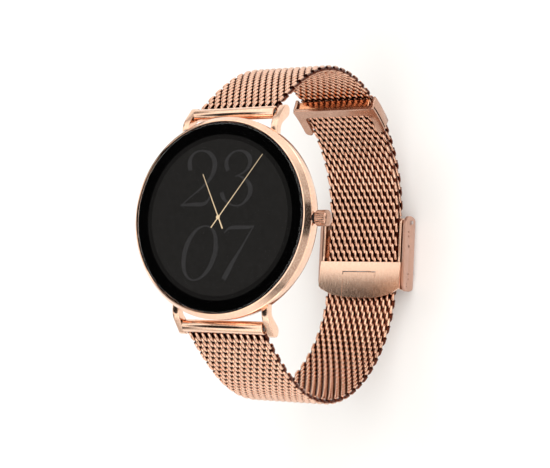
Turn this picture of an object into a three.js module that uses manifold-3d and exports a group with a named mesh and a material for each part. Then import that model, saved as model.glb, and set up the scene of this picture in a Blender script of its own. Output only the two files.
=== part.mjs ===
// A round smartwatch on a milanese mesh band, closed on its clasp.
// Millimetres. +X is the crown side, +Y is twelve o'clock, +Z is out of the display.
// z = 0 is the flat outer face of the clasp cover, on which the watch stands.

import * as THREE from 'three';
import { mergeVertices } from 'three/addons/utils/BufferGeometryUtils.js';
import Module from 'manifold-3d';

const wasm = await Module();
wasm.setup();

// Driving dimensions
const glassTop = 80; // outer face of the cover glass above the clasp's outer face
const glassRadius = 20.3;
const bezelRadius = 21.7;
const caseHeight = 10.8; // glass to back cover
const strapHalfWidth = 9.9;
const meshThickness = 1.6;
const clearance = 0.3; // between neighbouring pieces
const lugInner = 10.25; // half the gap between a pair of lugs
const lugThickness = 1.6;
const barY = 23; // spring bar axis, each side of the case
const barZ = glassTop - 5.4;
const bandTubeRadius = 1.375;
const crownZ = glassTop - 3.1;
const crownRadius = 1.7;
const roundSteps = 72; // facets round the case
const pinSteps = 16; // facets round a pin

const rose = { color: 0xdca08a, roughness: 0.22, metalness: 1 };
const roseSatin = { color: 0xcf9580, roughness: 0.42, metalness: 1 };
const mesh = { color: 0xd59a7d, roughness: 0.35, metalness: 1 };
const steel = { color: 0xb9bcc0, roughness: 0.35, metalness: 1 };
const blackGlass = { color: 0x050506, roughness: 0.05, metalness: 0 };
const rubber = { color: 0x141414, roughness: 0.8, metalness: 0 };
const blackPlastic = { color: 0x191a1b, roughness: 0.5, metalness: 0 };
const circuit = { color: 0x11412a, roughness: 0.55, metalness: 0 };
const foil = { color: 0xa8abb0, roughness: 0.4, metalness: 0.6 };
const gold = { color: 0xd9b45f, roughness: 0.25, metalness: 1 };
const copper = { color: 0xb06a35, roughness: 0.45, metalness: 0.4 };

const watch = new THREE.Group();

function add(name, geometry, look) {
  const material = new THREE.MeshStandardMaterial(look);
  const piece = new THREE.Mesh(geometry, material);
  piece.name = name;
  watch.add(piece);
  return piece;
}

// Solids and booleans

function bare(geometry) {
  const copy = geometry.clone();
  copy.deleteAttribute('normal');
  copy.deleteAttribute('uv');
  return mergeVertices(copy, 1e-4);
}

function toSolid(geometry) {
  const clean = bare(geometry);
  const vertProperties = new Float32Array(clean.attributes.position.array);
  const triVerts = new Uint32Array(clean.index.array);
  return new wasm.Manifold(new wasm.Mesh({ numProp: 3, vertProperties, triVerts }));
}

function toGeometry(solid) {
  const raw = solid.getMesh();
  const geometry = new THREE.BufferGeometry();
  geometry.setAttribute('position', new THREE.BufferAttribute(new Float32Array(raw.vertProperties), 3));
  geometry.setIndex(new THREE.BufferAttribute(new Uint32Array(raw.triVerts), 1));
  return geometry;
}

function join(...geometries) {
  let solid = toSolid(geometries[0]);
  for (const other of geometries.slice(1)) {
    solid = solid.add(toSolid(other));
  }
  return toGeometry(solid);
}

function cut(geometry, ...tools) {
  let solid = toSolid(geometry);
  for (const tool of tools) {
    solid = solid.subtract(toSolid(tool));
  }
  return toGeometry(solid);
}

// Shapes

function turned(profile, steps = roundSteps) {
  const points = profile.map(([radius, z]) => new THREE.Vector2(radius, z));
  const geometry = new THREE.LatheGeometry(points, steps);
  geometry.rotateX(Math.PI / 2);
  return geometry;
}

function disc(radius, low, high, steps = roundSteps) {
  return turned([[0, low], [radius, low], [radius, high], [0, high]], steps);
}

function ring(inner, outer, low, high, steps = roundSteps) {
  return turned([[inner, low], [outer, low], [outer, high], [inner, high], [inner, low]], steps);
}

// The same two, lying along X with the axis at (y, z)
function rod(radius, from, to, y, z, steps = pinSteps) {
  const geometry = disc(radius, from, to, steps);
  geometry.rotateY(Math.PI / 2);
  geometry.translate(0, y, z);
  return geometry;
}

function tube(inner, outer, from, to, y, z, steps = pinSteps) {
  const geometry = ring(inner, outer, from, to, steps);
  geometry.rotateY(Math.PI / 2);
  geometry.translate(0, y, z);
  return geometry;
}

function block(x0, x1, y0, y1, z0, z1) {
  const geometry = new THREE.BoxGeometry(x1 - x0, y1 - y0, z1 - z0);
  geometry.translate((x0 + x1) / 2, (y0 + y1) / 2, (z0 + z1) / 2);
  return geometry;
}

const sideways = new THREE.Matrix4().makeBasis(
  new THREE.Vector3(0, 1, 0),
  new THREE.Vector3(0, 0, 1),
  new THREE.Vector3(1, 0, 0),
);

// A side outline, drawn in (y, z), given a width along X
function across(shape, from, to, curveSegments = 8) {
  const settings = { depth: to - from, bevelEnabled: false, curveSegments };
  const geometry = new THREE.ExtrudeGeometry(shape, settings);
  geometry.translate(0, 0, from);
  geometry.applyMatrix4(sideways);
  return geometry;
}

function outline(points) {
  return new THREE.Shape(points.map(([y, z]) => new THREE.Vector2(y, z)));
}

// The band's side profile: a straight run under the clasp, then tangent arcs up each side.
// Distances run from the middle of the straight, positive towards twelve and negative towards six.
// An arc is a radius and the degrees that it turns; heading is the slope of the band in radians.

function alongBand(line, distance) {
  const side = Math.sign(distance);
  let left = Math.abs(distance) - line.half;
  if (left <= 0) {
    return { y: line.middleY + distance, z: line.z, heading: 0 };
  }
  let run = 0;
  let rise = 0;
  let heading = 0;
  for (const [radius, degrees] of side > 0 ? line.towardsTwelve : line.towardsSix) {
    const step = Math.min(THREE.MathUtils.degToRad(degrees), left / radius);
    run += radius * (Math.sin(heading + step) - Math.sin(heading));
    rise += radius * (Math.cos(heading) - Math.cos(heading + step));
    heading += step;
    left -= step * radius;
  }
  return { y: line.middleY + side * (line.half + run), z: line.z + rise, heading: side * heading };
}

function distanceAt(line, degrees) {
  let length = line.half;
  let left = Math.abs(degrees);
  for (const [radius, span] of degrees > 0 ? line.towardsTwelve : line.towardsSix) {
    const part = Math.min(left, span);
    length += radius * THREE.MathUtils.degToRad(part);
    left -= part;
  }
  return Math.sign(degrees) * length;
}

// A point beside the band's middle line: lift is outward, away from the wrist
function besideBand(line, distance, lift) {
  const place = alongBand(line, distance);
  const y = place.y + lift * Math.sin(place.heading);
  const z = place.z - lift * Math.cos(place.heading);
  return new THREE.Vector2(y, z);
}

// A strip of band between two distances, from lift low to lift high
function strip(line, from, to, low, high) {
  const steps = Math.max(2, Math.ceil((to - from) / 2.6));
  const points = [];
  for (let i = 0; i <= steps; i += 1) {
    points.push(besideBand(line, from + ((to - from) * i) / steps, high));
  }
  for (let i = steps; i >= 0; i -= 1) {
    points.push(besideBand(line, from + ((to - from) * i) / steps, low));
  }
  return points;
}

// The same strip with round ends, so that neighbours can fold about the hinge between them
function roundedStrip(line, from, to) {
  const half = meshThickness / 2;
  const steps = Math.max(2, Math.ceil((to - from) / 2.6));
  const endSteps = 6;
  const points = [];
  for (let i = 0; i <= steps; i += 1) {
    points.push(besideBand(line, from + half + ((to - from - 2 * half) * i) / steps, half));
  }
  for (let i = 1; i < endSteps; i += 1) {
    const angle = (Math.PI * i) / endSteps;
    points.push(besideBand(line, to - half + half * Math.sin(angle), half * Math.cos(angle)));
  }
  for (let i = steps; i >= 0; i -= 1) {
    points.push(besideBand(line, from + half + ((to - from - 2 * half) * i) / steps, -half));
  }
  for (let i = 1; i < endSteps; i += 1) {
    const angle = (Math.PI * i) / endSteps;
    points.push(besideBand(line, from + half - half * Math.sin(angle), -half * Math.cos(angle)));
  }
  return points;
}

function bandPiece(line, from, to) {
  const shape = new THREE.Shape(roundedStrip(line, from + clearance / 2, to - clearance / 2));
  return across(shape, -strapHalfWidth, strapHalfWidth);
}

const outerZ = 4.9; // middle of the twelve o'clock half behind the wrist
const layerStep = meshThickness + clearance; // the six o'clock half lies inside it there

const bandTwelve = {
  middleY: 0,
  half: 6.5,
  z: outerZ,
  towardsTwelve: [[28.2, 39.3], [38.85, 81.7], [79.2, 12]],
  towardsSix: [],
};
const bandSix = {
  middleY: -0.5,
  half: 7,
  z: outerZ + layerStep,
  towardsTwelve: [[28.2 - layerStep, 39.3], [38.85 - layerStep, 50]],
  towardsSix: [[26.6, 37.5], [37.5, 83.5], [79.2, 12]],
};

// Headings of the flex lines, from the clasp up each side, and of the tail's end
const hingesTwelve = [36, 70, 98];
const hingesSix = [-98, -68, -42, -18, 15, 40];
const tailEnd = 66.5;

// Case

const caseTop = glassTop - 2;
const caseWaist = glassTop - 4.8; // lower edge of the side band
const caseFoot = glassTop - 9.6;
const cavityRadius = 18.3;
const backOpening = 17;
const screwCircle = 17.9;
const screwAngles = [45, 135, 225, 315];

function atScrews(make) {
  return screwAngles.map((degrees) => {
    const angle = THREE.MathUtils.degToRad(degrees);
    const geometry = make();
    geometry.translate(screwCircle * Math.cos(angle), screwCircle * Math.sin(angle), 0);
    return geometry;
  });
}

function lug(side, end) {
  const shape = new THREE.Shape();
  const reach = 2.25;
  shape.moveTo(17.2, caseTop - 0.9);
  shape.lineTo(20.4, caseTop - 0.7);
  shape.lineTo(barY + reach * Math.cos(1.25), barZ + reach * Math.sin(1.25));
  shape.absarc(barY, barZ, reach, 1.25, -2.0, true);
  shape.lineTo(17.2, caseWaist - 0.3);
  const plate = across(shape, 0, lugThickness, 10);
  const hole = rod(0.5, -1, lugThickness - 0.5, barY, barZ);
  const half = cut(plate, hole);
  half.translate(lugInner, 0, 0);
  if (side < 0) half.scale(-1, 1, 1);
  if (end < 0) half.scale(1, -1, 1);
  if (side * end < 0) flip(half);
  return half;
}

// Turns a mirrored geometry's faces right side out again
function flip(geometry) {
  const index = geometry.index;
  for (let i = 0; i < index.count; i += 3) {
    const keep = index.getX(i);
    index.setX(i, index.getX(i + 1));
    index.setX(i + 1, keep);
  }
}

function caseMiddle() {
  const wall = turned([
    [backOpening, caseFoot],
    [18.9, caseFoot],
    [19.5, caseFoot + 0.9],
    [21.45, caseWaist],
    [21.62, caseWaist + 0.35],
    [bezelRadius, caseTop - 0.3],
    [bezelRadius - 0.2, caseTop],
    [cavityRadius, caseTop],
    [cavityRadius, caseFoot + 3.4],
    [backOpening, caseFoot + 1.9],
    [backOpening, caseFoot],
  ]);
  const lugs = [lug(1, 1), lug(-1, 1), lug(1, -1), lug(-1, -1)];
  const body = join(wall, ...lugs);
  const stemBore = rod(0.72, 17, 23, 0, crownZ);
  const sealBore = rod(1.2, 20.7, 23, 0, crownZ);
  const screwHoles = atScrews(() => disc(0.5, caseFoot - 1, caseFoot + 1.8, 12));
  return cut(body, stemBore, sealBore, ...screwHoles);
}

function bezel() {
  return turned([
    [glassRadius + 0.25, caseTop + 0.25],
    [bezelRadius - 0.1, caseTop + 0.25],
    [bezelRadius, caseTop + 0.5],
    [glassRadius + 0.5, glassTop - 0.05],
    [glassRadius + 0.25, glassTop - 0.05],
    [glassRadius + 0.25, caseTop + 0.25],
  ]);
}

function backCover() {
  const low = glassTop - caseHeight;
  const high = caseFoot - clearance;
  const plate = turned([
    [6.9, low],
    [17.4, low],
    [18.7, low + 0.5],
    [18.7, high],
    [15.8, high],
    [15.8, high + 1.1],
    [14.8, high + 1.1],
    [14.8, high - 0.1],
    [6.9, high - 0.1],
    [6.9, low],
  ]);
  const shankHoles = atScrews(() => disc(0.5, low - 1, high + 1, 12));
  const headHoles = atScrews(() => disc(0.78, low - 1, low + 0.45, 12));
  return cut(plate, ...shankHoles, ...headHoles);
}

function caseScrews() {
  const low = glassTop - caseHeight;
  return atScrews(() => turned([
    [0, low + 0.05],
    [0.68, low + 0.05],
    [0.68, low + 0.4],
    [0.4, low + 0.4],
    [0.4, caseFoot + 1.5],
    [0, caseFoot + 1.5],
  ], 12));
}

add('case_middle', caseMiddle(), rose);
add('bezel_ring', bezel(), rose);
add('cover_glass', turned([
  [0, glassTop - 1.25],
  [glassRadius - 0.1, glassTop - 1.25],
  [glassRadius, glassTop - 1.15],
  [glassRadius, glassTop - 0.2],
  [glassRadius - 0.25, glassTop],
  [0, glassTop],
]), blackGlass);
add('glass_gasket', ring(18.8, 20.1, caseTop + 0.2, glassTop - 1.45), rubber);
add('display_module', disc(17.9, glassTop - 2.3, glassTop - 1.5), blackGlass);
add('display_frame', ring(6, 15, glassTop - 3.05, glassTop - 2.6, 48), foil);
add('back_cover', backCover(), roseSatin);
add('back_gasket', ring(16.05, 16.75, caseFoot + 0.1, caseFoot + 0.6, 48), rubber);
caseScrews().forEach((screw, i) => add(`case_screw_${i + 1}`, screw, steel));

// Inside the case

function mainBoard() {
  const board = disc(14.9, glassTop - 4.05, glassTop - 3.35, 48);
  const shield = block(-6, 4, -6, 3, glassTop - 4.7, glassTop - 3.9);
  const memory = block(6, 10.5, -3, 2.5, glassTop - 4.6, glassTop - 3.9);
  const radio = block(-4, 1.5, 6, 11, glassTop - 4.6, glassTop - 3.9);
  return join(board, shield, memory, radio);
}

function displayFlex() {
  const top = glassTop - 2.95;
  const low = glassTop - 4.6;
  const band = outline([
    [-16.3, low],
    [-16.0, low],
    [-16.0, top - 0.3],
    [-15.3, top - 0.3],
    [-15.3, top],
    [-16.3, top],
  ]);
  return across(band, -4, 4);
}

add('main_board', mainBoard(), circuit);
add('display_flex', displayFlex(), copper);
add('battery', block(-9.5, 7, -9.5, 9.5, glassTop - 8.2, glassTop - 5), foil);
add('vibration_motor', rod(1.6, -5, 5, 12.3, glassTop - 6.9, 24), steel);
add('sensor_board', disc(7.6, glassTop - 9.5, glassTop - 8.9, 36), circuit);
add('sensor_window', turned([
  [0, glassTop - 11.4],
  [3.6, glassTop - 11.4],
  [5.8, glassTop - 10.95],
  [6.6, glassTop - 10.6],
  [6.6, glassTop - 9.9],
  [0, glassTop - 9.9],
], 48), blackGlass);
const ringLow = glassTop - caseHeight - 0.25;
add('charging_ring_inner', ring(8.2, 9, ringLow, ringLow + 0.2, 48), gold);
add('charging_ring_outer', ring(10.2, 11, ringLow, ringLow + 0.2, 48), gold);
add('crown_encoder', block(15.4, 17.2, -2, 2, glassTop - 4.9, glassTop - 2.75), blackPlastic);

// Crown

const crownStart = 22.1;
const crownEnd = 25.3;

function crownHead() {
  const knob = turned([
    [0.7, crownStart],
    [1.25, crownStart],
    [crownRadius, crownStart + 0.35],
    [crownRadius, crownEnd - 0.55],
    [1.3, crownEnd - 0.15],
    [0, crownEnd],
    [0, crownStart + 1.6],
    [0.7, crownStart + 1.6],
    [0.7, crownStart],
  ], 32);
  knob.rotateY(Math.PI / 2);
  knob.translate(0, 0, crownZ);
  return knob;
}

add('crown_stem', rod(0.6, 17.9, crownStart + 1.35, 0, crownZ), steel);
add('crown_head', crownHead(), rose);
add('crown_seal', tube(0.68, 1.12, 20.85, 21.3, 0, crownZ), rubber);

// Spring bars: a sleeve, a coil and two sprung tips at each end of the case

for (const [end, side] of [['12', 1], ['6', -1]]) {
  const y = side * barY;
  add(`spring_bar_${end}`, tube(0.56, 0.75, -9.75, 9.75, y, barZ), steel);
  add(`spring_bar_coil_${end}`, tube(0.3, 0.46, -6.3, 6.3, y, barZ, 12), steel);
  for (const [hand, way] of [['left', -1], ['right', 1]]) {
    const shaft = rod(0.4, Math.min(way * 8, way * 11.1), Math.max(way * 8, way * 11.1), y, barZ, 12);
    const collar = rod(0.48, Math.min(way * 7.9, way * 8.5), Math.max(way * 7.9, way * 8.5), y, barZ, 12);
    add(`spring_bar_tip_${end}_${hand}`, join(shaft, collar), steel);
  }
  add(`band_tube_${end}`, tube(0.86, bandTubeRadius, -strapHalfWidth, strapHalfWidth, y, barZ, 24), rose);
}

// Clasp

const claspPinY = 7;
const claspPinZ = 4.55;
const claspTubeRadius = 1.1;
const sliderWall = 10.35; // inner face of the slider's rails
const sliderEdge = 11.35;
const flangeInner = 11.7;
const flangeOuter = 12.5;
const slideFrom = -10.4;
const slideTo = 7.5;
const bridgeLow = 8;
const bridgeHigh = 9.2;
const barHookY = -5;
const barHookZ = 3.9;
const tabHalf = 4;
const leverY = -5.9;
const leverZ = (bridgeLow + bridgeHigh) / 2;

function roundedOutline(points, radius) {
  const shape = new THREE.Shape();
  const count = points.length;
  for (let i = 0; i < count; i += 1) {
    const here = points[i];
    const before = points[(i + count - 1) % count];
    const after = points[(i + 1) % count];
    const toBefore = new THREE.Vector2(before[0] - here[0], before[1] - here[1]).normalize();
    const toAfter = new THREE.Vector2(after[0] - here[0], after[1] - here[1]).normalize();
    const r = here[2] ?? radius;
    const start = [here[0] + toBefore.x * r, here[1] + toBefore.y * r];
    if (i === 0) shape.moveTo(...start);
    else shape.lineTo(...start);
    if (r > 0) shape.quadraticCurveTo(here[0], here[1], here[0] + toAfter.x * r, here[1] + toAfter.y * r);
  }
  shape.closePath();
  return shape;
}

function claspSlider() {
  const rail = roundedOutline([
    [slideFrom, bridgeHigh - 0.1, 0.8],
    [slideFrom, barHookZ - 0.2, 0.8],
    [barHookY - 1.2, barHookZ - 1.1, 0.6],
    [barHookY + 1.2, barHookZ - 1.1, 0.6],
    [3.4, 4.7, 0.5],
    [4.6, 5.9, 0.5],
    [slideTo, 6.1, 0.5],
    [slideTo, bridgeHigh - 0.4, 0.8],
    [-2.4, bridgeHigh - 0.4, 0.2],
    [-2.6, bridgeHigh - 0.1, 0.1],
  ], 0);
  const floor = block(-sliderEdge + 0.1, sliderEdge - 0.1, slideFrom + 0.6, 3.4, 4.7, 5.55);
  const plate = new THREE.Shape();
  plate.moveTo(-sliderEdge, -2.6);
  plate.lineTo(-sliderEdge, slideFrom + 2.2);
  plate.lineTo(-sliderEdge + 1.4, slideFrom + 0.9);
  plate.quadraticCurveTo(0, slideFrom - 0.9, sliderEdge - 1.4, slideFrom + 0.9);
  plate.lineTo(sliderEdge, slideFrom + 2.2);
  plate.lineTo(sliderEdge, -2.6);
  const bridge = new THREE.ExtrudeGeometry(plate, { depth: bridgeHigh - bridgeLow, bevelEnabled: false });
  bridge.translate(0, 0, bridgeLow);
  const body = join(
    floor,
    bridge,
    across(rail, sliderWall, sliderEdge, 4),
    across(rail, -sliderEdge, -sliderWall, 4),
  );
  const windowHalf = tabHalf + clearance;
  const window = block(-windowHalf, windowHalf, slideFrom - 3, leverY + 0.95, bridgeLow - 1, bridgeHigh + 1);
  const leverBore = rod(0.3, -6.4, 6.4, leverY, leverZ, 12);
  const barBore = rod(0.55, -sliderEdge - 1, sliderEdge + 1, barHookY, barHookZ);
  return cut(body, window, leverBore, barBore);
}

function lockLever() {
  const half = (bridgeHigh - bridgeLow) / 2 - 0.05;
  const side = new THREE.Shape();
  side.moveTo(leverY, leverZ + half);
  side.lineTo(slideFrom + 0.3, leverZ + half);
  side.lineTo(slideFrom - 0.2, leverZ + half - 0.3);
  side.lineTo(slideFrom + 0.1, leverZ + 0.05);
  side.lineTo(leverY, leverZ - half);
  side.absarc(leverY, leverZ, half, -Math.PI / 2, Math.PI / 2, false);
  return cut(across(side, -tabHalf, tabHalf, 6), rod(0.31, -6, 6, leverY, leverZ, 12));
}

function hookPlate() {
  const inner = claspTubeRadius + 0.35;
  const outer = inner + 0.6;
  const low = claspPinZ - outer;
  const shape = new THREE.Shape();
  shape.moveTo(claspPinY, low);
  shape.absarc(claspPinY, claspPinZ, outer, -Math.PI / 2, -0.35, false);
  shape.absarc(claspPinY, claspPinZ, inner, -0.35, -Math.PI / 2, true);
  shape.lineTo(-5.6, claspPinZ - inner);
  shape.lineTo(-6.1, claspPinZ - inner - 0.3);
  shape.lineTo(-5.6, low);
  return across(shape, -8.6, 8.6, 8);
}

function claspCover() {
  const side = roundedOutline([
    [-10.6, 0, 3],
    [8.6, 0, 3],
    [8.6, 6.4, 1.2],
    [6.6, 8.2, 1.2],
    [-9, 8.2, 1],
    [-10.6, 6.6, 1],
  ], 1);
  const inside = roundedOutline([
    [-12, 0.8, 0],
    [12, 0.8, 0],
    [12, 12, 0],
    [-12, 12, 0],
  ], 0);
  const hollow = across(inside, -flangeInner, flangeInner);
  const bore = rod(0.5, -20, 20, claspPinY, claspPinZ);
  const shell = cut(across(side, -flangeOuter, flangeOuter, 6), hollow, bore);
  const mouth = block(-flangeInner, flangeInner, 5.6, 12, -1, 1);
  return cut(shell, mouth);
}

function tailKeeper() {
  const innerLift = -meshThickness / 2 - 0.35;
  const end = distanceAt(bandSix, tailEnd);
  const start = distanceAt(bandSix, tailEnd - 13.5);
  const tipLength = 1.1;
  const cap = strip(bandSix, start, end + tipLength, innerLift - 0.9, innerLift);
  const tip = strip(bandSix, end + clearance / 2 + 0.15, end + tipLength, innerLift - 0.4, meshThickness / 2);
  const earLift = layerStep + meshThickness / 2;
  const ear = strip(bandSix, start + 2.6, end + tipLength, innerLift - 0.9, earLift);
  const wide = strapHalfWidth + 1.1;
  return join(
    across(outline(cap.map((point) => [point.x, point.y])), -wide, wide),
    across(outline(tip.map((point) => [point.x, point.y])), -wide, wide),
    across(outline(ear.map((point) => [point.x, point.y])), wide - 0.8, wide),
    across(outline(ear.map((point) => [point.x, point.y])), -wide, -wide + 0.8),
  );
}

// Mesh band: rigid stretches between flex lines

const tubeReach = bandTubeRadius + clearance / 2;

function bandRun(name, line, stops) {
  for (let i = 0; i + 1 < stops.length; i += 1) {
    add(`${name}_${i + 1}`, bandPiece(line, stops[i], stops[i + 1]), mesh);
  }
}

const twelveTop = distanceAt(bandTwelve, 360) - tubeReach;
const twelveStops = hingesTwelve.map((degrees) => distanceAt(bandTwelve, degrees));
bandRun('band_twelve', bandTwelve, [claspPinY + claspTubeRadius + 0.15, ...twelveStops, twelveTop]);

const sixTop = distanceAt(bandSix, -360) + tubeReach;
const sixStops = hingesSix.map((degrees) => distanceAt(bandSix, degrees));
bandRun('band_six', bandSix, [sixTop, ...sixStops, distanceAt(bandSix, tailEnd)]);

add('clasp_tube', tube(0.56, claspTubeRadius, -strapHalfWidth, strapHalfWidth, claspPinY, claspPinZ), rose);
add('clasp_pin', rod(0.45, -flangeOuter + 0.1, flangeOuter - 0.1, claspPinY, claspPinZ), steel);
add('hook_plate', hookPlate(), roseSatin);
add('clasp_cover', claspCover(), roseSatin);
add('clasp_slider', claspSlider(), rose);
add('hook_bar', rod(0.48, -sliderEdge, sliderEdge, barHookY, barHookZ), steel);
add('lock_lever', lockLever(), roseSatin);
add('lock_lever_pin', rod(0.26, -6.2, 6.2, leverY, leverZ, 12), steel);
add('tail_keeper', tailKeeper(), rose);

export default watch;
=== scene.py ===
import math
import bpy
from mathutils import Matrix, Vector


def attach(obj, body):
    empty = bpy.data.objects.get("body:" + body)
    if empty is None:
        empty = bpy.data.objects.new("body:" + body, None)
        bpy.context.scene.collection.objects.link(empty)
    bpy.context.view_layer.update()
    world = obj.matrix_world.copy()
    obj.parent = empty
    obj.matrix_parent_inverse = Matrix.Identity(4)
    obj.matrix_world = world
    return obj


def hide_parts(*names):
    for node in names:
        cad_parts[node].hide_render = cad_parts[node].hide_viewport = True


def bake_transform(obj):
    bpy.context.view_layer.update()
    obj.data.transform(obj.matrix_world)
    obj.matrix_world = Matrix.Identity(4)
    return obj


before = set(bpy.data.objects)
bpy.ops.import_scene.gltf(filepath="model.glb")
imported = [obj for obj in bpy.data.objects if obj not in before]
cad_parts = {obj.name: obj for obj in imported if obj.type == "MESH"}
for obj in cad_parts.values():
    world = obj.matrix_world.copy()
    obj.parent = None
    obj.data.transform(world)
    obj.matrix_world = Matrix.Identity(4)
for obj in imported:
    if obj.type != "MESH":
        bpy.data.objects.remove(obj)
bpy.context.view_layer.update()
bpy.ops.object.select_all(action="DESELECT")
mm = 0.001  # the pieces' sizes are in mm, the studio's in metres
print("frame loaded:", len(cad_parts), "nodes")


# studio: camera, floor and light

studio = {
    "cameraPlace": (0.153938, -0.029442, 0.333236),
    "cameraTurn": (6.6757, 28.5910, 3.2764),  # degrees
    "lens": 91.967,
    "floorSize": 3.0,
    "floorColor": (0.93, 0.93, 0.925),
    "ceiling": 1.5,  # brightness overhead
    "wall": 0.55,  # and near the horizon
    "flag": 0.06,  # narrow dark cards round the walls: where they stand and half their width, in degrees
    "flags": ((-150, 10), (-72, 14), (4, 12), (84, 12), (150, 10)),
    "card": 0.012,  # the big dark card that the flat glass mirrors
    "cardMiddle": (-0.52, -0.12, 0.84),
    "cardHalf": (0.30, 0.38, 0.30),
    "cardEdge": (0.85, 1.15),  # its soft rim, as shares of its half size
    "flagFade": 5,  # degrees of soft edge on the narrow cards
    "flagTop": (0.45, 0.62),  # the height over which they end
    "backdrop": 1.0,
    "lights": [  # name, place, size, watts, colour
        ("softTwelve", (0.25, 0.80, 0.50), 0.50, 1.6, (1.0, 0.985, 0.96)),
        ("softSix", (0.10, -0.80, 0.50), 0.50, 1.4, (1.0, 0.985, 0.96)),
    ],
}


def aim(obj, target):
    obj.rotation_euler = (Vector(target) - obj.location).to_track_quat("-Z", "Y").to_euler()


def makeStudio():
    bpy.ops.object.camera_add(location=studio["cameraPlace"])
    camera = bpy.context.object
    camera.name = "camera"
    camera.rotation_euler = [math.radians(angle) for angle in studio["cameraTurn"]]
    camera.data.lens = studio["lens"]
    camera.data.sensor_width = 36
    camera.data.clip_start = 0.01
    bpy.context.scene.camera = camera
    for name, place, size, watts, color in studio["lights"]:
        bpy.ops.object.light_add(type="AREA", location=place)
        light = bpy.context.object
        light.name = name
        light.data.size = size
        light.data.energy = watts
        light.data.color = color
        aim(light, (0, 0, 0.05))
    bpy.ops.mesh.primitive_grid_add(x_subdivisions=8, y_subdivisions=8, size=studio["floorSize"])
    floor = bpy.context.object
    floor.name = "floor"
    floor.data.materials.append(floorPaper())
    makeWorld()
    bpy.context.scene.view_settings.view_transform = "Standard"


def floorPaper():
    paper = bpy.data.materials.new("floorPaper")
    paper.use_nodes = True
    nodes, links = paper.node_tree.nodes, paper.node_tree.links
    shader = nodes["Principled BSDF"]
    shader.inputs["Roughness"].default_value = 0.9
    shader.inputs["Specular IOR Level"].default_value = 0.1
    place = nodes.new("ShaderNodeTexCoord")
    fibre = nodes.new("ShaderNodeTexNoise")
    fibre.inputs["Scale"].default_value = 40
    ramp = nodes.new("ShaderNodeValToRGB")
    low = [part * 0.985 for part in studio["floorColor"]]
    ramp.color_ramp.elements[0].color = (*low, 1)
    ramp.color_ramp.elements[1].color = (*studio["floorColor"], 1)
    links.new(place.outputs["Object"], fibre.inputs["Vector"])
    links.new(fibre.outputs["Fac"], ramp.inputs["Fac"])
    links.new(ramp.outputs["Color"], shader.inputs["Base Color"])
    return paper


def makeWorld():
    # a bright soft room, with a dark card overhead and narrow ones low down
    world = bpy.data.worlds.new("softRoom")
    bpy.context.scene.world = world
    world.use_nodes = True
    nodes, links = world.node_tree.nodes, world.node_tree.links
    background = nodes["Background"]
    place = nodes.new("ShaderNodeTexCoord")
    split = nodes.new("ShaderNodeSeparateXYZ")
    links.new(place.outputs["Generated"], split.inputs["Vector"])

    room = nodes.new("ShaderNodeValToRGB")  # wall to ceiling
    warm = (1.0, 0.99, 0.965)
    wall, ceiling = [[studio[name] * part for part in warm] for name in ("wall", "ceiling")]
    setRamp(room, [(0.0, wall), (0.55, ceiling)])
    links.new(split.outputs["Z"], room.inputs["Fac"])

    fromCard = vectorMath(nodes, links, "SUBTRACT", place.outputs["Generated"], studio["cardMiddle"])
    inCard = vectorMath(nodes, links, "DIVIDE", fromCard.outputs["Vector"], studio["cardHalf"])
    reach = vectorMath(nodes, links, "LENGTH", inCard.outputs["Vector"])
    card = spread(nodes, links, reach.outputs["Value"], studio["cardEdge"], (studio["card"], 1))

    turn = nodes.new("ShaderNodeMath")
    turn.operation = "ARCTAN2"
    links.new(split.outputs["Y"], turn.inputs[0])
    links.new(split.outputs["X"], turn.inputs[1])
    flags = nodes.new("ShaderNodeValToRGB")
    dark, lit, fade = (studio["flag"],) * 3, (1, 1, 1), studio["flagFade"]
    stops = [(0.0, lit)]
    for degrees, half in studio["flags"]:
        for edge, color in ((-half - fade, lit), (-half, dark), (half, dark), (half + fade, lit)):
            stops.append(((degrees + edge) / 360 + 0.5, color))
    setRamp(flags, stops)
    links.new(spread(nodes, links, turn.outputs["Value"], (-math.pi, math.pi)), flags.inputs["Fac"])
    walls = nodes.new("ShaderNodeMix")
    walls.data_type = "RGBA"
    walls.inputs["B"].default_value = (1, 1, 1, 1)
    links.new(spread(nodes, links, split.outputs["Z"], studio["flagTop"]), walls.inputs["Factor"])
    links.new(flags.outputs["Color"], walls.inputs["A"])

    shaded = multiply(nodes, links, room.outputs["Color"], walls.outputs["Result"])
    links.new(multiply(nodes, links, shaded, card), background.inputs["Color"])

    # what the camera sees past the floor is a plain pale backdrop
    plain = nodes.new("ShaderNodeBackground")
    plain.inputs["Color"].default_value = (studio["backdrop"],) * 3 + (1,)
    seen = nodes.new("ShaderNodeLightPath")
    choose = nodes.new("ShaderNodeMixShader")
    links.new(seen.outputs["Is Camera Ray"], choose.inputs["Fac"])
    links.new(background.outputs["Background"], choose.inputs[1])
    links.new(plain.outputs["Background"], choose.inputs[2])
    links.new(choose.outputs["Shader"], nodes["World Output"].inputs["Surface"])


def vectorMath(nodes, links, operation, source, by=None):
    node = nodes.new("ShaderNodeVectorMath")
    node.operation = operation
    if by:
        node.inputs[1].default_value = by
    links.new(source, node.inputs[0])
    return node


def spread(nodes, links, source, ends, newEnds=(0, 1)):
    # a value carried from one range to another, and held at its ends
    node = nodes.new("ShaderNodeMapRange")
    node.inputs["From Min"].default_value, node.inputs["From Max"].default_value = ends
    node.inputs["To Min"].default_value, node.inputs["To Max"].default_value = newEnds
    links.new(source, node.inputs["Value"])
    return node.outputs["Result"]


def multiply(nodes, links, first, second):
    node = nodes.new("ShaderNodeMix")
    node.data_type = "RGBA"
    node.blend_type = "MULTIPLY"
    node.inputs["Factor"].default_value = 1
    links.new(first, node.inputs["A"])
    links.new(second, node.inputs["B"])
    return node.outputs["Result"]


def setRamp(node, stops):
    elements = node.color_ramp.elements
    while len(elements) < len(stops):
        elements.new(0.5)
    for element, (at, color) in zip(elements, stops):
        element.position = at
        element.color = (*color, 1)


# finishes

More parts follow.
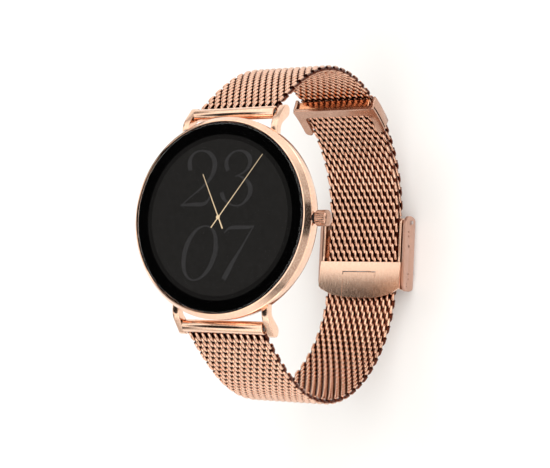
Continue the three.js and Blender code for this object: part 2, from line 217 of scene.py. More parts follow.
finishes = {
    # dark and light colour, metal, roughness low and high, grain direction, grain per mm, relief in mm;
    # some with the share of broad wear, the painted shade down in crevices, or the specular level
    "roseGold": dict(dark=(0.80, 0.50, 0.36), light=(0.93, 0.64, 0.48), metal=1, rough=(0.10, 0.20),
                     stretch=(1, 1, 1), grain=3.0, relief=0.004),
    "roseBrushed": dict(dark=(0.76, 0.48, 0.35), light=(0.94, 0.65, 0.49), metal=1, rough=(0.20, 0.28),
                        stretch=(9, 0.2, 2), grain=3.0, relief=0.008, wear=0.12),
    # rose gold darkened, to paint the shade on the keeper's face and the crown
    "rosePaintedShade": dict(dark=(0.40, 0.22, 0.15), light=(0.58, 0.36, 0.27), metal=1, rough=(0.18, 0.28),
                      stretch=(1, 1, 1), grain=3.0, relief=0.006),
    "roseMatte": dict(dark=(0.55, 0.34, 0.26), light=(0.68, 0.44, 0.35), metal=1, rough=(0.42, 0.55),
                      stretch=(1, 1, 1), grain=6.0, relief=0.010),
    # rose gold tinted deeper orange, a painted reflection of the mesh in the keeper cap's end face
    "rosePaintedReflection": dict(dark=(0.62, 0.26, 0.13), light=(0.82, 0.40, 0.22), metal=1, rough=(0.12, 0.20),
                     stretch=(1, 1, 1), grain=3.0, relief=0.004),
    # the wire's crevice colour is painted shade, laid on the wires near the middle of the mesh
    "roseWire": dict(dark=(0.74, 0.41, 0.28), light=(0.94, 0.60, 0.44), metal=1, rough=(0.14, 0.22),
                     stretch=(1, 1, 1), grain=2.2, relief=0.006, creviceShade=(0.10, 0.022, 0.010)),
    "bareSteel": dict(dark=(0.42, 0.42, 0.43), light=(0.62, 0.62, 0.63), metal=1, rough=(0.22, 0.36),
                      stretch=(0.4, 6, 6), grain=3.0, relief=0.006),
    "foilSheet": dict(dark=(0.50, 0.51, 0.53), light=(0.68, 0.69, 0.71), metal=1, rough=(0.32, 0.50),
                      stretch=(1, 1, 1), grain=1.2, relief=0.03),
    "goldContact": dict(dark=(0.78, 0.55, 0.24), light=(0.90, 0.68, 0.34), metal=1, rough=(0.18, 0.28),
                        stretch=(1, 1, 1), grain=4.0, relief=0.004),
    "sealRubber": dict(dark=(0.012, 0.012, 0.012), light=(0.03, 0.03, 0.03), metal=0, rough=(0.6, 0.8),
                       stretch=(1, 1, 1), grain=8.0, relief=0.02),
    "blackMoulded": dict(dark=(0.015, 0.015, 0.016), light=(0.04, 0.04, 0.042), metal=0, rough=(0.4, 0.55),
                         stretch=(1, 1, 1), grain=9.0, relief=0.012),
    "greenBoard": dict(dark=(0.010, 0.060, 0.030), light=(0.025, 0.130, 0.070), metal=0, rough=(0.35, 0.5),
                       stretch=(1, 1, 1), grain=1.6, relief=0.01),
    "amberFlex": dict(dark=(0.40, 0.16, 0.04), light=(0.60, 0.28, 0.08), metal=0.2, rough=(0.35, 0.45),
                      stretch=(1, 6, 1), grain=2.5, relief=0.006),
    "blackPrint": dict(dark=(0.0006, 0.0006, 0.0007), light=(0.0012, 0.0012, 0.0012), metal=0,
                       rough=(0.6, 0.7), stretch=(1, 1, 1), grain=2.0, relief=0.0, specular=0.0),
    "sensorGlass": dict(dark=(0.004, 0.004, 0.006), light=(0.015, 0.013, 0.018), metal=0, rough=(0.05, 0.10),
                        stretch=(1, 1, 1), grain=0.5, relief=0.0),
}
madeFinishes = {}


def finish(name):
    if name in madeFinishes:
        return madeFinishes[name]
    look = finishes[name]
    material = bpy.data.materials.new(name)
    material.use_nodes = True
    nodes, links = material.node_tree.nodes, material.node_tree.links
    shader = nodes["Principled BSDF"]
    shader.inputs["Metallic"].default_value = look["metal"]
    shader.inputs["Specular IOR Level"].default_value = look.get("specular", 0.5)
    place = nodes.new("ShaderNodeTexCoord")
    turn = nodes.new("ShaderNodeMapping")
    turn.inputs["Scale"].default_value = [part / mm for part in look["stretch"]]
    links.new(place.outputs["Object"], turn.inputs["Vector"])
    grain = nodes.new("ShaderNodeTexNoise")  # fine grain or brushing
    grain.inputs["Scale"].default_value = look["grain"]
    grain.inputs["Detail"].default_value = 4
    links.new(turn.outputs["Vector"], grain.inputs["Vector"])
    wear = nodes.new("ShaderNodeTexNoise")  # broad handling marks
    wear.inputs["Scale"].default_value = 260
    wear.inputs["Detail"].default_value = 3
    links.new(place.outputs["Object"], wear.inputs["Vector"])
    mix = nodes.new("ShaderNodeMix")
    mix.inputs["Factor"].default_value = look.get("wear", 0.35)
    links.new(grain.outputs["Fac"], mix.inputs["A"])
    links.new(wear.outputs["Fac"], mix.inputs["B"])
    tint = nodes.new("ShaderNodeValToRGB")
    setRamp(tint, [(0.36, look["dark"]), (0.62, look["light"])])
    links.new(mix.outputs["Result"], tint.inputs["Fac"])
    color = tint.outputs["Color"]
    if "creviceShade" in look:  # painted shade: dark between the wires, by how near a point is to the middle of the mesh
        crest = nodes.new("ShaderNodeAttribute")
        crest.attribute_name = "crest"
        deep = nodes.new("ShaderNodeMix")
        deep.data_type = "RGBA"
        deep.inputs["A"].default_value = (*look["creviceShade"], 1)
        links.new(spread(nodes, links, crest.outputs["Fac"], (0.38, 0.78)), deep.inputs["Factor"])
        links.new(color, deep.inputs["B"])
        color = deep.outputs["Result"]
    links.new(color, shader.inputs["Base Color"])
    rough = spread(nodes, links, mix.outputs["Result"], (0.35, 0.65), look["rough"])
    links.new(rough, shader.inputs["Roughness"])
    if look["relief"]:
        bump = nodes.new("ShaderNodeBump")
        bump.inputs["Strength"].default_value = 0.35
        bump.inputs["Distance"].default_value = look["relief"] * mm
        links.new(grain.outputs["Fac"], bump.inputs["Height"])
        links.new(bump.outputs["Normal"], shader.inputs["Normal"])
    madeFinishes[name] = material
    return material


def clearGlass():
    glass = bpy.data.materials.new("clearGlass")
    glass.use_nodes = True
    nodes, links = glass.node_tree.nodes, glass.node_tree.links
    shader = nodes["Principled BSDF"]
    shader.inputs["Base Color"].default_value = (0.75, 0.75, 0.76, 1)
    shader.inputs["Transmission Weight"].default_value = 1
    shader.inputs["IOR"].default_value = 1.4
    shader.inputs["Specular IOR Level"].default_value = 0.3
    place = nodes.new("ShaderNodeTexCoord")
    smear = nodes.new("ShaderNodeTexNoise")
    smear.inputs["Scale"].default_value = 120
    links.new(place.outputs["Object"], smear.inputs["Vector"])
    rough = spread(nodes, links, smear.outputs["Fac"], (0, 1), (0.0, 0.03))
    links.new(rough, shader.inputs["Roughness"])
    return glass


def litLayer(name, color, vary=0.08):
    # a lit layer of the display, uneven by a few per cent
    lit = bpy.data.materials.new(name)
    lit.use_nodes = True
    nodes, links = lit.node_tree.nodes, lit.node_tree.links
    shader = nodes["Principled BSDF"]
    shader.inputs["Base Color"].default_value = (0.002, 0.002, 0.002, 1)
    shader.inputs["Roughness"].default_value = 0.4
    shader.inputs["Specular IOR Level"].default_value = 0.0
    shader.inputs["Emission Strength"].default_value = 1
    place = nodes.new("ShaderNodeTexCoord")
    dots = nodes.new("ShaderNodeTexNoise")
    dots.inputs["Scale"].default_value = 900
    ramp = nodes.new("ShaderNodeValToRGB")
    dim, bright = [[part * (1 + change) for part in color] for change in (-vary, vary)]
    setRamp(ramp, [(0.3, dim), (0.7, bright)])
    links.new(place.outputs["Object"], dots.inputs["Vector"])
    links.new(dots.outputs["Fac"], ramp.inputs["Fac"])
    links.new(ramp.outputs["Color"], shader.inputs["Emission Color"])
    return lit


# modelling helpers

def only(*objs):
    bpy.ops.object.select_all(action="DESELECT")
    for obj in objs:
        obj.select_set(True)
    bpy.context.view_layer.objects.active = objs[0]


def applyModifier(obj, kind, **settings):
    only(obj)
    modifier = obj.modifiers.new(kind.lower(), kind)
    for key, value in settings.items():
        setattr(modifier, key, value)
    bpy.ops.object.modifier_apply(modifier=modifier.name)
    return obj


def bevelEdges(obj, width, segments=2, angle=30):
    applyModifier(obj, "BEVEL", width=width * mm, segments=segments, limit_method="ANGLE",
                  angle_limit=math.radians(angle))
    return obj


def smooth(obj, angle=32):
    only(obj)
    bpy.ops.object.shade_smooth_by_angle(angle=math.radians(angle))
    return obj


def closeUp(obj):
    only(obj)
    bpy.ops.object.mode_set(mode="EDIT")
    bpy.ops.mesh.select_all(action="SELECT")
    bpy.ops.mesh.remove_doubles(threshold=1e-6)
    bpy.ops.mesh.fill_holes(sides=0)
    bpy.ops.mesh.normals_make_consistent(inside=False)
    bpy.ops.object.mode_set(mode="OBJECT")
    return obj


def turned(name, profile, steps=128, lie=False, at=(0, 0, 0)):
    # a circle drawn out ring by ring along its axis: radius and height in mm
    bpy.ops.object.select_all(action="DESELECT")
    radius, height = profile[0]
    bpy.ops.mesh.primitive_circle_add(vertices=steps, radius=radius * mm, location=(0, 0, height * mm))
    obj = bpy.context.object
    obj.name = name
    bpy.ops.object.mode_set(mode="EDIT")
    bpy.ops.mesh.select_all(action="SELECT")
    for newRadius, newHeight in profile[1:]:
        rise = (newHeight - height) * mm
        bpy.ops.mesh.extrude_region_move(TRANSFORM_OT_translate={"value": (0, 0, rise)})
        grow = newRadius / radius
        if abs(grow - 1) > 1e-6:
            bpy.ops.transform.resize(value=(grow, grow, 1), center_override=(0, 0, newHeight * mm))
        radius, height = newRadius, newHeight
    bpy.ops.object.mode_set(mode="OBJECT")
    if lie:
        obj.rotation_euler = (0, math.pi / 2, 0)
        obj.location = (obj.location.z, 0, 0)
    obj.location = [a + b * mm for a, b in zip(obj.location, at)]
    only(obj)
    bpy.ops.object.transform_apply(location=True, rotation=True, scale=True)
    return closeUp(obj)


def plate(name, outline, low, high, along="Z", bevel=0.1, segments=2):
    # a filled ring of points set on the outline, drawn out along one axis, its edges eased
    bpy.ops.object.select_all(action="DESELECT")
    bpy.ops.mesh.primitive_circle_add(vertices=len(outline), radius=mm, fill_type="NGON")
    obj = bpy.context.object
    obj.name = name
    for vertex, (u, v) in zip(obj.data.vertices, outline):
        spot = {"X": (low, u, v), "Y": (u, low, v), "Z": (u, v, low)}[along]
        vertex.co = [part * mm for part in spot]
    step = [(high - low) * mm if axis == along else 0 for axis in "XYZ"]
    bpy.ops.object.mode_set(mode="EDIT")
    bpy.ops.mesh.select_all(action="SELECT")
    bpy.ops.mesh.extrude_region_move(TRANSFORM_OT_translate={"value": step})
    bpy.ops.mesh.select_all(action="SELECT")
    bpy.ops.mesh.normals_make_consistent(inside=False)
    bpy.ops.object.mode_set(mode="OBJECT")
    if bevel:
        bevelEdges(obj, bevel, segments)
    return obj


def rounded(corners, steps=5):
    # an outline with its corners rounded: u, v and radius in mm
    points = []
    count = len(corners)
    for i, (u, v, radius) in enumerate(corners):
        here = Vector((u, v))
        toLast = (Vector(corners[i - 1][:2]) - here).normalized()
        toNext = (Vector(corners[(i + 1) % count][:2]) - here).normalized()
        if radius <= 0:
            points.append((u, v))
            continue
        start, end = here + toLast * radius, here + toNext * radius
        for k in range(steps + 1):
            t = k / steps
            spot = start * (1 - t) ** 2 + here * 2 * t * (1 - t) + end * t * t
            points.append((spot.x, spot.y))
    return points


def arc(u, v, radius, start, end, steps):
    angles = [start + (end - start) * i / steps for i in range(steps + 1)]
    return [(u + radius * math.cos(a), v + radius * math.sin(a)) for a in angles]


def joined(name, parts):
    only(*parts)
    bpy.ops.object.join()
    obj = bpy.context.object
    obj.name = name
    return obj


def cutAway(obj, tool):
    applyModifier(obj, "BOOLEAN", operation="DIFFERENCE", solver="EXACT", object=tool)
    bpy.data.objects.remove(tool)
    return obj


def finished(obj, body, *nodes, look=None, slot=None):
    if look:
        obj.data.materials.clear()
        obj.data.materials.append(look)
    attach(obj, body)
    if nodes:
        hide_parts(*nodes)
    return obj


print("helpers ready")


# case

case = {
    "glassTop": 80,
    "glassRadius": 20.3,
    "bezelRadius": 21.7,
    "bezelHeight": 2,
    "insideRadius": 18.3,
    "backRadius": 17,  # the opening for the back cover
    "waist": 75.2,
    "foot": 70.4,
    "lugInner": 10.25,
    "lugThickness": 1.6,
    "barY": 23,
    "barZ": 74.6,
    "lugCorners": [  # y, z and corner radius of the side outline: it slopes down over the spring bar
        (17.2, 77.1, 0), (20.9, 77.1, 1.5), (24.9, 73.6, 0.6), (24.7, 72.0, 0.8), (22.9, 71.8, 0.9),
        (20.2, 75.4, 1.2), (17.2, 75.4, 0),
    ],
    "lugBevel": 0.16,
    "crownZ": 76.9,
    "crownBore": 1.2,
}


def makeCase():
    top = case["glassTop"] - case["bezelHeight"]
    foot, waist, rim = case["foot"], case["waist"], case["bezelRadius"]
    inside, back = case["insideRadius"], case["backRadius"]
    wall = turned("caseWall", [
        (back, foot), (rim - 2.9, foot), (rim - 2.7, foot + 0.12), (rim - 2.2, foot + 0.9),
        (rim - 1.5, foot + 2.2), (rim - 0.8, foot + 3.5), (rim - 0.32, waist - 0.12),
        (rim - 0.2, waist + 0.1), (rim - 0.08, waist + 0.35), (rim - 0.02, waist + 1.3), (rim, top - 0.4),
        (rim - 0.06, top - 0.12), (rim - 0.2, top), (inside, top), (inside, foot + 3.4), (back, foot + 1.9),
        (back, foot),
    ], steps=144)
    lugs = [makeLug(side, end) for side in (1, -1) for end in (1, -1)]
    hole = case["crownBore"]
    bore = turned("bore", [(hole, rim - 1), (hole, rim + 1.3)], steps=24, lie=True, at=(0, 0, case["crownZ"]))
    cutAway(wall, bore)
    body = joined("caseMiddle", [wall, *lugs])
    smooth(body, 28)
    finished(body, "case", "case_middle", look=finish("roseGold"), slot="rose_gold")


def makeLug(side, end):
    outline = [(end * u, v) for u, v in rounded(case["lugCorners"], 6)]
    inner, outer = case["lugInner"], case["lugInner"] + case["lugThickness"]
    low, high = (inner, outer) if side > 0 else (-outer, -inner)
    return plate("lug", outline, low, high, along="X", bevel=case["lugBevel"], segments=3)


def makeBezel():
    top, rim, inner = case["glassTop"], case["bezelRadius"], case["glassRadius"] + 0.25
    foot = top - 1.75
    ring = turned("bezelRing", [
        (inner, foot), (rim - 0.1, foot), (rim, foot + 0.25), (rim - 0.03, foot + 0.33),
        (inner + 0.29, top - 0.13), (inner + 0.05, top - 0.04), (inner, top - 0.10), (inner, foot),
    ], steps=192)
    smooth(ring, 8)  # the facet stays flat and crisp
    finished(ring, "case", "bezel_ring", look=finish("roseGold"), slot="rose_gold")


# cover glass and display

display = {
    "moduleLow": 77.7, "moduleTop": 78.5, "moduleRadius": 17.9,
    "low": 78.75, "printTop": 79.44,  # black border print, from the underside of the glass
    "paneLow": 79.55,  # the clear glass over it
    "pictureZ": 79.46,
    "digitLift": 0.025,
    "handLift": 0.04,
    "ringRadius": 17.75,
    "discRadius": 16.75,
    "discColor": (0.0245, 0.0232, 0.0215),
    "ringColor": (0.0125, 0.0119, 0.0110),
    "digitColor": (0.0520, 0.0500, 0.0495),
    "handColor": (1.25, 0.96, 0.60),
    "hourHand": ((1.26, -2.45), (-4.28, 9.22), 0.34),  # tail, tip, width
    "minuteHand": ((-1.59, -2.26), (10.07, 13.23), 0.28),
    "hub": 0.46,
}
# strokes of each digit: x, y and pen width in mm
digits = {
    "two": [
        [(-7.5, 10.2, .95), (-7.9, 11.4, 1.2), (-7.6, 13.0, .7), (-6.4, 14.2, .4), (-4.5, 14.4, .32),
         (-2.7, 13.8, .85), (-1.5, 12.2, 1.2), (-1.4, 10.5, 1.15), (-2.1, 8.6, .85), (-3.7, 6.9, .5),
         (-5.8, 5.3, .32), (-7.9, 3.8, .28), (-9.5, 2.4, .28)],
        [(-9.5, 2.6, .45), (-6.7, 2.75, .8), (-3.8, 2.7, .85), (-2.7, 3.4, .45), (-2.2, 4.5, .25)],
    ],
    "three": [
        [(1.9, 9.9, .85), (1.2, 11.2, 1.1), (1.7, 12.9, .65), (3.1, 14.0, .32), (4.8, 14.2, .38),
         (6.4, 13.5, .9), (7.3, 12.2, 1.1), (7.0, 10.6, .7), (5.6, 9.2, .32), (3.7, 8.6, .25)],
        [(4.4, 8.8, .25), (6.2, 8.2, .57), (7.5, 6.7, 1.1), (7.7, 5.2, 1.1), (6.8, 3.5, .64), (5.1, 2.3, .32),
         (3.1, 2.5, .32), (1.6, 3.4, .57), (.8, 4.5, 1.1), (.6, 5.3, 1.0)],
    ],
    "zero": [
        [(-.2, -7.7, 1.15), (-.1, -5.4, 1.05), (-.5, -3.5, .8), (-1.5, -2.2, .47), (-2.9, -1.8, .28),
         (-4.5, -2.2, .47), (-6.0, -3.5, .8), (-7.2, -5.4, 1.05), (-7.9, -7.7, 1.15), (-8.05, -10, 1.05),
         (-7.6, -11.9, .8), (-6.6, -13.2, .47), (-5.2, -13.6, .28), (-3.6, -13.1, .47), (-2.1, -11.8, .8),
         (-.9, -9.9, 1.05), (-.2, -7.7, 1.15)],
    ],
    "seven": [
        [(1.8, -3.4, .26), (2.4, -2.6, .38), (3.4, -2.2, .77), (5.9, -2.2, .83), (8.0, -2.15, .64),
         (8.9, -1.9, .26)],
        [(8.8, -2.0, .26), (7.5, -4.1, .32), (5.9, -6.9, .5), (4.2, -9.5, .83), (2.9, -11.9, 1.2),
         (2.2, -13.2, 1.1)],
    ],
}


def makeGlass():
    top, glass = case["glassTop"], case["glassRadius"]
    pane = turned("coverGlass", [
        (glass - 0.04, display["paneLow"]), (glass, display["paneLow"] + 0.04), (glass, top - 0.2),
        (glass - 0.1, top - 0.06), (glass - 0.28, top), (glass - 0.40, top),
    ], steps=192)
    finished(smooth(pane, 20), "case", "cover_glass", look=clearGlass(), slot="black_glass")
    border = turned("glassPrint", [
        (glass - 0.2, display["low"]), (glass - 0.08, display["low"] + 0.1),
        (glass - 0.08, display["printTop"] - 0.05), (glass - 0.14, display["printTop"]),
    ], steps=144)
    finished(smooth(border, 20), "case", look=finish("blackPrint"), slot="black_glass")


def makeDisplay():
    low, top, radius = display["moduleLow"], display["moduleTop"], display["moduleRadius"]
    module = turned("displayModule", [
        (radius - 0.2, low), (radius, low + 0.1), (radius, top - 0.08), (radius - 0.08, top),
    ], steps=144)
    finished(smooth(module, 30), "case", "display_module", look=finish("sensorGlass"), slot="black_glass")
    z, outer, inner = display["pictureZ"], display["ringRadius"], display["discRadius"]
    ring = turned("pictureRing", [(outer, z - 0.01), (outer, z)], steps=128)
    finished(smooth(ring), "case", look=litLayer("ringLight", display["ringColor"]), slot="black_glass")
    disc = turned("pictureDisc", [(inner, z), (inner, z + 0.01)], steps=128)
    finished(smooth(disc), "case", look=litLayer("discLight", display["discColor"]), slot="black_glass")
    digitLight = litLayer("digitLight", display["digitColor"])
    for name, strokes in digits.items():
        pieces = [makeStroke(stroke, z + display["digitLift"]) for stroke in strokes]
        finished(joined(f"digit_{name}", pieces), "case", look=digitLight, slot="black_glass")
    handLight = litLayer("handLight", display["handColor"])
    z += display["handLift"]
    hands = [makeHand(*display[name], z) for name in ("hourHand", "minuteHand")]
    hands.append(turned("hub", [(display["hub"], z), (display["hub"] - 0.03, z + 0.02)], steps=32))
    finished(joined("pictureHands", hands), "case", look=handLight, slot="black_glass")


def makeStroke(stroke, z):
    # a round-nosed pen stroke, pressed flat
    curve = bpy.data.curves.new("stroke", "CURVE")
    curve.dimensions = "3D"
    curve.bevel_depth = 0.5 * mm
    curve.bevel_resolution = 2
    curve.use_fill_caps = True
    curve.resolution_u = 6
    spline = curve.splines.new("NURBS")
    spline.points.add(len(stroke) - 1)
    for point, (x, y, width) in zip(spline.points, stroke):
        point.co = (x * mm, y * mm, 0, 1)
        point.radius = width
    spline.use_endpoint_u = True
    spline.order_u = 3
    obj = bpy.data.objects.new("stroke", curve)
    bpy.context.collection.objects.link(obj)
    only(obj)
    bpy.ops.object.convert(target="MESH")
    obj = bpy.context.object
    obj.scale = (1, 1, 0.01)
    obj.location = (0, 0, z * mm)
    bpy.ops.object.transform_apply(location=True, rotation=True, scale=True)
    return obj


def makeHand(tail, tip, width, z):
    tail, tip = Vector(tail), Vector(tip)
    along = (tip - tail).normalized()
    across = Vector((-along.y, along.x)) * width / 2
    outline = [tail - across * 0.8, tip - across * 0.35, tip + across * 0.35, tail + across * 0.8]
    return plate("hand", [(p.x, p.y) for p in outline], z, z + 0.02, bevel=0)


makeStudio()
print("studio ready")
makeCase()
makeBezel()
makeGlass()
makeDisplay()
print("case ready")


# woven band

weave = {
    "pitch": 1.6,  # along a coil
    "row": 1.76,  # coil to coil
    "reach": 1.22,  # half a coil's height along the band
    "depth": 0.40,  # half its thickness
    "flatness": 0.55,  # 1 is a round coil, less is a flatter one
    "squash": 0.60,  # near 0.5 the wires run straight on the faces and cross over at a row's edges
    "lean": 0.30,  # leans them on one face more than on the other
    "wire": 0.40,  # radius
    "halfWidth": 10.0,
    "steps": 12,  # points a turn
    "shadeSheetHalf": 9.4,  # the dark sheet inside each row, painted shade seen through the gaps: half its width, half its thickness
    "shadeSheetThin": 0.05,
    "tubeReach": 1.525,  # from a spring bar's middle to where the mesh starts
    "tuck": 0.2,  # how far the end rows go under what holds them
    "bend": 3.6,  # either side of a flex line
}
# a half's straight under the clasp, then radius and degrees of each arc on its way up and down; lugWay says
# which way along it the lugs lie. Each stretch: where it folds in degrees of heading, its name, the body on
# its lug side, the body beyond, and the nodes it takes the place of
bandTwelve = {
    "middleY": 0, "half": 6.5, "z": 4.9, "lugWay": 1, "claspEnd": 8.25,
    "up": [(28.2, 39.3), (38.85, 81.7), (79.2, 12)],
    "down": [],
    "stretches": [
        (36, "meshTwelveLower", "band_twelve_c", "band_twelve_d", ["band_twelve_1"]),
        (70, "meshTwelveMiddle", "band_twelve_b", "band_twelve_c", ["band_twelve_2"]),
        (98, "meshTwelveUpper", "band_twelve_a", "band_twelve_b", ["band_twelve_3", "band_twelve_4"]),
    ],
}
bandSix = {
    "middleY": -0.5, "half": 7, "z": 6.8, "lugWay": -1, "tailEnd": 66.5,
    "up": [(26.3, 39.3), (36.95, 50)],
    "down": [(26.6, 37.5), (37.5, 83.5), (79.2, 12)],
    "stretches": [
        (-98, "meshSixUpper", "band_six_a", "band_six_b", ["band_six_1", "band_six_2"]),
        (-68, "meshSixMiddle", "band_six_b", "band_six_c", ["band_six_3"]),
        (-42, "meshSixLower", "band_six_c", "band_six_d", ["band_six_4"]),
        (-18, "meshSixClasp", "band_six_d", "band_six_e", ["band_six_5"]),
        (15, "meshTailRoot", "band_six_e", "band_tail_a", ["band_six_6"]),
        (40, "meshTailTip", "band_tail_a", "band_tail_b", ["band_six_7"]),
    ],
}


def alongBand(line, distance):
    # y, z and heading of the band's middle at a distance from the middle of the clasp
    side = 1 if distance > 0 else -1
    left = abs(distance) - line["half"]
    if left <= 0:
        return line["middleY"] + distance, line["z"], 0
    run = rise = heading = 0
    for radius, degrees in line["up"] if side > 0 else line["down"]:
        step = min(math.radians(degrees), left / radius)
        run += radius * (math.sin(heading + step) - math.sin(heading))
        rise += radius * (math.cos(heading) - math.cos(heading + step))
        heading += step
        left -= step * radius
    return line["middleY"] + side * (line["half"] + run), line["z"] + rise, side * heading


def distanceAt(line, degrees):
    # the distance at which the band has turned by so much, or its end if it never does
    length, left = line["half"], abs(degrees)
    for radius, span in line["up"] if degrees > 0 else line["down"]:
        part = min(left, span)
        length += radius * math.radians(part)
        left -= part
    return length if degrees > 0 else -length


def besideBand(line, distance, lift):
    # y and z of a point so far out from the band's middle
    y, z, heading = alongBand(line, distance)
    return y + lift * math.sin(heading), z - lift * math.cos(heading)


def makeCoil(shift):
    # one flattened coil lying across the band, as a wire on a curve
    curve = bpy.data.curves.new("coil", "CURVE")
    curve.dimensions = "3D"
    curve.bevel_depth = weave["wire"] * mm
    curve.bevel_resolution = 1
    curve.use_fill_caps = True
    pitch, halfWidth = weave["pitch"], weave["halfWidth"] - weave["wire"]
    turns = 2 * halfWidth / pitch
    count = int(turns * weave["steps"])
    points = []
    for i in range(count + 1):
        t = 2 * math.pi * (i / weave["steps"] - turns / 2) + shift
        sway = weave["squash"] * math.sin(2 * t) + weave["lean"] * math.cos(t)
        x = -pitch / (2 * math.pi) * (t - shift + sway)
        x = max(-halfWidth, min(halfWidth, x))
        lift = math.copysign(abs(math.sin(t)) ** weave["flatness"], math.sin(t))
        points.append((x * mm, -weave["reach"] * math.cos(t) * mm, weave["depth"] * lift * mm))
    spline = curve.splines.new("POLY")
    spline.points.add(len(points) - 1)
    for point, spot in zip(spline.points, points):
        point.co = (*spot, 1)
    coil = bpy.data.objects.new("coil", curve)
    bpy.context.collection.objects.link(coil)
    only(coil)
    bpy.ops.object.convert(target="MESH")
    coil = bpy.context.object
    bpy.ops.object.shade_smooth()
    # a thin dark sheet in the middle of each row paints the shade seen through the gaps between the wires
    half, halfRow, thin = weave["shadeSheetHalf"], weave["row"] / 2 + 0.05, weave["shadeSheetThin"]
    strip = [(-half, -halfRow), (half, -halfRow), (half, halfRow), (-half, halfRow)]
    coil = joined("coil", [coil, plate("shadeSheet", strip, -thin, thin, bevel=0)])
    # crest runs from 0 at the middle of the mesh to 1 at the wires' tops: the wire finish paints shade where
    # it is low
    crest = coil.data.attributes.new("crest", "FLOAT", "POINT")
    thick = (weave["depth"] + weave["wire"]) * mm
    for value, vertex in zip(crest.data, coil.data.vertices):
        value.value = abs(vertex.co.z) / thick
    return coil


def laidRow(coil, line, distance):
    row = coil.copy()
    row.data = coil.data.copy()
    bpy.context.collection.objects.link(row)
    # local y runs along the band and local z points away from the wrist
    y, z, heading = alongBand(line, distance)
    along = Vector((0, math.cos(heading), math.sin(heading)))
    out = Vector((0, math.sin(heading), -math.cos(heading)))
    place = Matrix((along.cross(out), along, out)).transposed().to_4x4()
    place.translation = Vector((0, y * mm, z * mm))
    row.data.transform(place)
    return row


def weaveHalf(line, coils, low, high):
    # rows from one end to the other, shared out between the stretches halfway from fold to fold
    margin = weave["reach"] + weave["wire"] - weave["tuck"]
    rowCount = round((high - low - 2 * margin) / weave["row"]) + 1
    rowStep = (high - low - 2 * margin) / (rowCount - 1)
    folds = [distanceAt(line, stretch[0]) for stretch in line["stretches"]]
    middles = [(a + b) / 2 for a, b in zip(folds, folds[1:])]
    starts, ends = [low, *middles], [*middles, high]
    for start, fold, end, stretch in zip(starts, folds, ends, line["stretches"]):
        rows = []
        for i in range(rowCount):
            distance = low + margin + i * rowStep
            if start <= distance < end:
                rows.append(laidRow(coils[i % 2], line, distance))
        _, name, lugSide, beyond, nodes = stretch
        piece = joined(name, rows)
        piece.data.materials.clear()
        piece.data.materials.append(finish("roseWire"))
        for way in (line["lugWay"], -line["lugWay"]):
            y, z, _ = alongBand(line, fold + way * weave["bend"])
        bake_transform(piece)
        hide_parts(*nodes)


def makeBand():
    coils = [makeCoil(0), makeCoil(math.pi)]
    reach = weave["tubeReach"]
    weaveHalf(bandTwelve, coils, bandTwelve["claspEnd"], distanceAt(bandTwelve, 360) - reach)
    weaveHalf(bandSix, coils, distanceAt(bandSix, -360) + reach, distanceAt(bandSix, bandSix["tailEnd"]))
    for coil in coils:
        bpy.data.objects.remove(coil)


makeBand()
print("band woven")


# band tubes and crown

tube = {"bore": 0.86, "radius": 1.375, "half": 9.9}
crown = {
    "start": 22.1, "radius": 1.7, "bore": 0.7,
    "flutes": 18, "fluteDepth": 0.15, "fluteFrom": 22.45, "fluteTo": 24.45, "fluteFloor": 1.5,
}


def makeTubes():
    bore, radius, half = tube["bore"], tube["radius"], tube["half"]
    for end, side in (("12", 1), ("6", -1)):
        sleeve = turned(f"bandTube_{end}", [
            (bore, -half), (radius - 0.115, -half), (radius - 0.035, -half + 0.04), (radius, -half + 0.14),
            (radius, half - 0.14), (radius - 0.035, half - 0.04), (radius - 0.115, half), (bore, half),
            (bore, -half),
        ], steps=64, lie=True, at=(0, side * case["barY"], case["barZ"]))
        body = "band_twelve_a" if side > 0 else "band_six_a"
        finished(smooth(sleeve, 40), body, f"band_tube_{end}", look=finish("roseGold"), slot="rose_gold")


def makeCrown():
    start, radius, bore, middle = crown["start"], crown["radius"], crown["bore"], case["crownZ"]
    fluteFrom, fluteTo = crown["fluteFrom"], crown["fluteTo"]
    head = turned("crownHead", [
        (bore, start + 1.4), (bore, start), (radius - 0.5, start), (radius - 0.2, start + 0.12),
        (radius - 0.04, start + 0.32), (radius, start + 0.4), (radius, fluteTo + 0.05),
        (radius - 0.04, start + 2.62), (radius - 0.2, start + 2.85), (radius - 0.55, start + 3.03),
        (radius - 1, start + 3.14), (radius - 1.45, start + 3.19),
    ], steps=crown["flutes"] * 6, lie=True, at=(0, 0, middle))
    only(head)
    bpy.ops.object.mode_set(mode="EDIT")
    for x in (fluteFrom + 0.1, fluteTo - 0.1):
        bpy.ops.mesh.select_all(action="SELECT")
        bpy.ops.mesh.bisect(plane_co=(x * mm, 0, 0), plane_no=(1, 0, 0))
    bpy.ops.object.mode_set(mode="OBJECT")
    for vertex in head.data.vertices:
        x, y, z = vertex.co.x, vertex.co.y, vertex.co.z - middle * mm
        if fluteFrom * mm < x < fluteTo * mm and math.hypot(y, z) > crown["fluteFloor"] * mm:
            groove = max(0, math.cos(math.atan2(z, y) * crown["flutes"])) * crown["fluteDepth"] / radius
            vertex.co = (x, y * (1 - groove), z * (1 - groove) + middle * mm)
    # the head takes the darkened rose gold: painted shade
    finished(smooth(head, 40), "crown_knob", "crown_head", look=finish("rosePaintedShade"), slot="rose_gold")


makeTubes()
makeCrown()
print("tubes and crown ready")


# clasp

